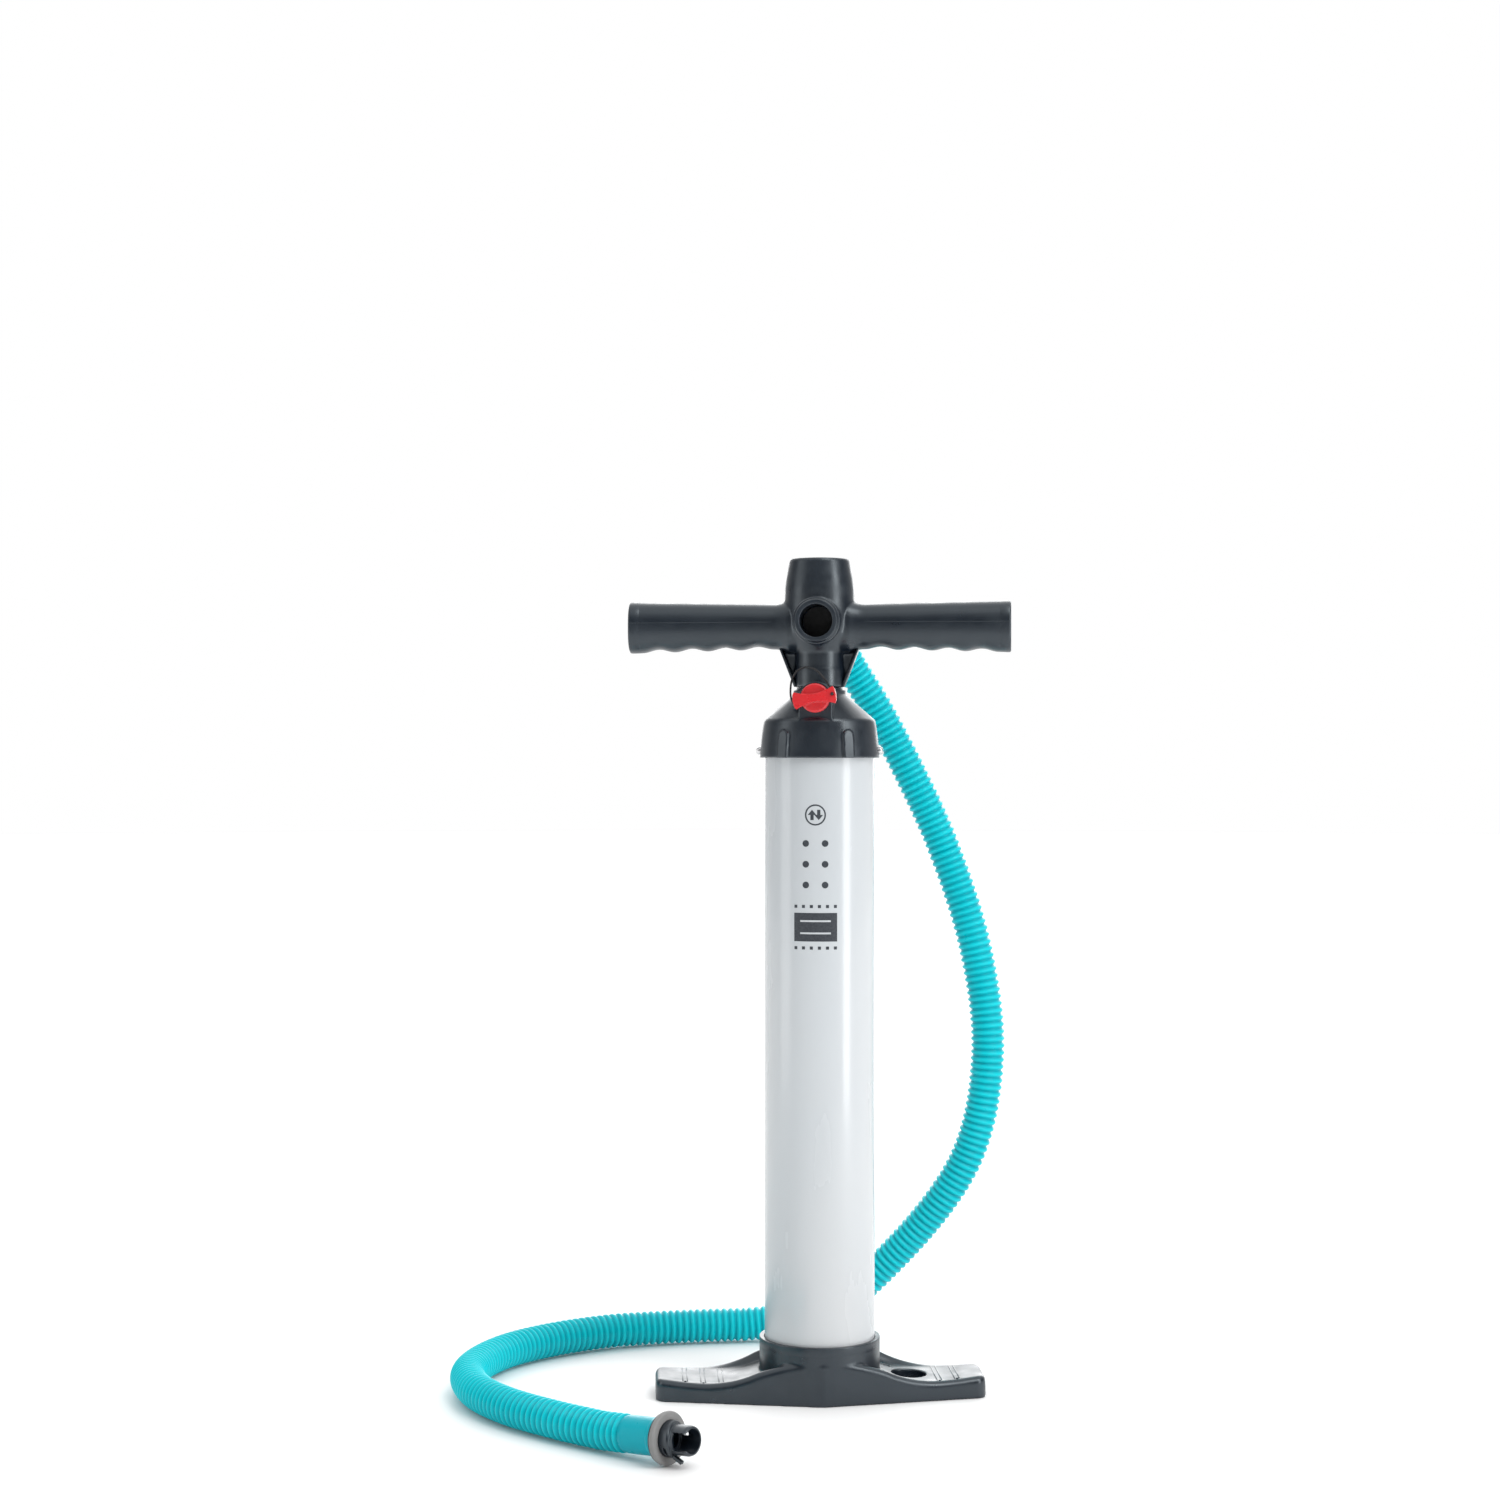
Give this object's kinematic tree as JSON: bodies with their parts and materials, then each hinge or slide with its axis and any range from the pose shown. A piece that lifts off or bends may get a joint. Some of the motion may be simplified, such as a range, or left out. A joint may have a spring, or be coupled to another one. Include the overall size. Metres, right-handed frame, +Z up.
{
  "type": "double action hand pump",
  "caption": "Upright hand pump with a round barrel, winged foot, T handle with scalloped grips, corrugated hose with a bayonet nozzle, and a release plug on the cap.",
  "frame": {"origin": "on the barrel's axis, at the flat underside of the foot", "axes": "+Z up the barrel, -Y towards the release plug, +X along the right arm of the handle"},
  "size_m": [0.4374, 0.429, 0.655],
  "materials": {
    "dark_plastic": "fine moulded grain",
    "white_enamel": "gloss enamel",
    "red_plastic": "gloss",
    "teal_hose": "satin",
    "grey_rubber": "matte",
    "black_rubber": "matte",
    "steel": "bright",
    "aluminium": "satin anodised",
    "dial_print": "printed card",
    "clear_lens": "polished"
  },
  "bodies": {
    "pump_body": {"base_foot": "dark_plastic", "barrel_tube": "white_enamel", "bottom_plug": "dark_plastic", "bottom_oring": "black_rubber", "top_cap": "dark_plastic", "cap_gasket": "black_rubber", "cap_screw_left": "steel", "cap_screw_right": "steel", "gland_nut": "dark_plastic", "rod_bush": "dark_plastic", "rod_seal": "black_rubber", "plug_cord": "black_rubber", "hose": "teal_hose", "hose_cuff_lower": "teal_hose", "nozzle_flange": "dark_plastic", "nozzle_gasket": "grey_rubber", "nozzle_core": "dark_plastic"},
    "piston_ring": {"piston_seal": "black_rubber"},
    "handle": {"piston_body": "dark_plastic", "rod_outer_tube": "aluminium", "rod_inner_tube": "aluminium", "handle_body": "dark_plastic", "handle_end_cap_left": "dark_plastic", "handle_end_cap_right": "dark_plastic", "gauge_body": "dark_plastic", "gauge_dial": "dial_print", "gauge_lens": "clear_lens", "gauge_bezel": "dark_plastic", "port_oring": "black_rubber", "hose_cuff_upper": "teal_hose"},
    "valve_flap": {"valve_flap": "black_rubber"},
    "hose_nut": {"hose_nut": "dark_plastic"},
    "gauge_needle": {"gauge_needle": "red_plastic"},
    "plug_seal": {"plug_oring": "black_rubber"},
    "plug": {"plug_knob": "red_plastic"}
  },
  "joints": [
    {"name": "pump_stroke", "type": "slide", "parent": "pump_body", "child": "piston_ring", "axis": [0, 0, 1], "range_m": [0, 0.42], "deforming": ["hose"]},
    {"name": "handle_swivel", "type": "hinge", "parent": "piston_ring", "child": "handle", "pos_m": [0, 0, 0.605], "axis": [0, 0, 1], "range_deg": [-30, 30], "deforming": ["hose"]},
    {"name": "flap_open", "type": "slide", "parent": "handle", "child": "valve_flap", "axis": [0, 0, -1], "range_m": [0, 0.002]},
    {"name": "hose_nut_turn", "type": "hinge", "parent": "handle", "child": "hose_nut", "pos_m": [0, 0.05, 0.605], "axis": [0, 1, 0], "range_deg": [0, 45]},
    {"name": "needle_turn", "type": "hinge", "parent": "handle", "child": "gauge_needle", "pos_m": [0, 0, 0.648], "axis": [0, 0, -1], "range_deg": [0, 270]},
    {"name": "plug_pull", "type": "slide", "parent": "pump_body", "child": "plug_seal", "axis": [0, -1, 0], "range_m": [0, 0.03], "deforming": ["plug_cord"]},
    {"name": "plug_turn", "type": "hinge", "parent": "plug_seal", "child": "plug", "pos_m": [0, -0.045, 0.545], "axis": [0, -1, 0], "range_deg": [0, 90], "deforming": ["plug_cord"]}
  ]
}
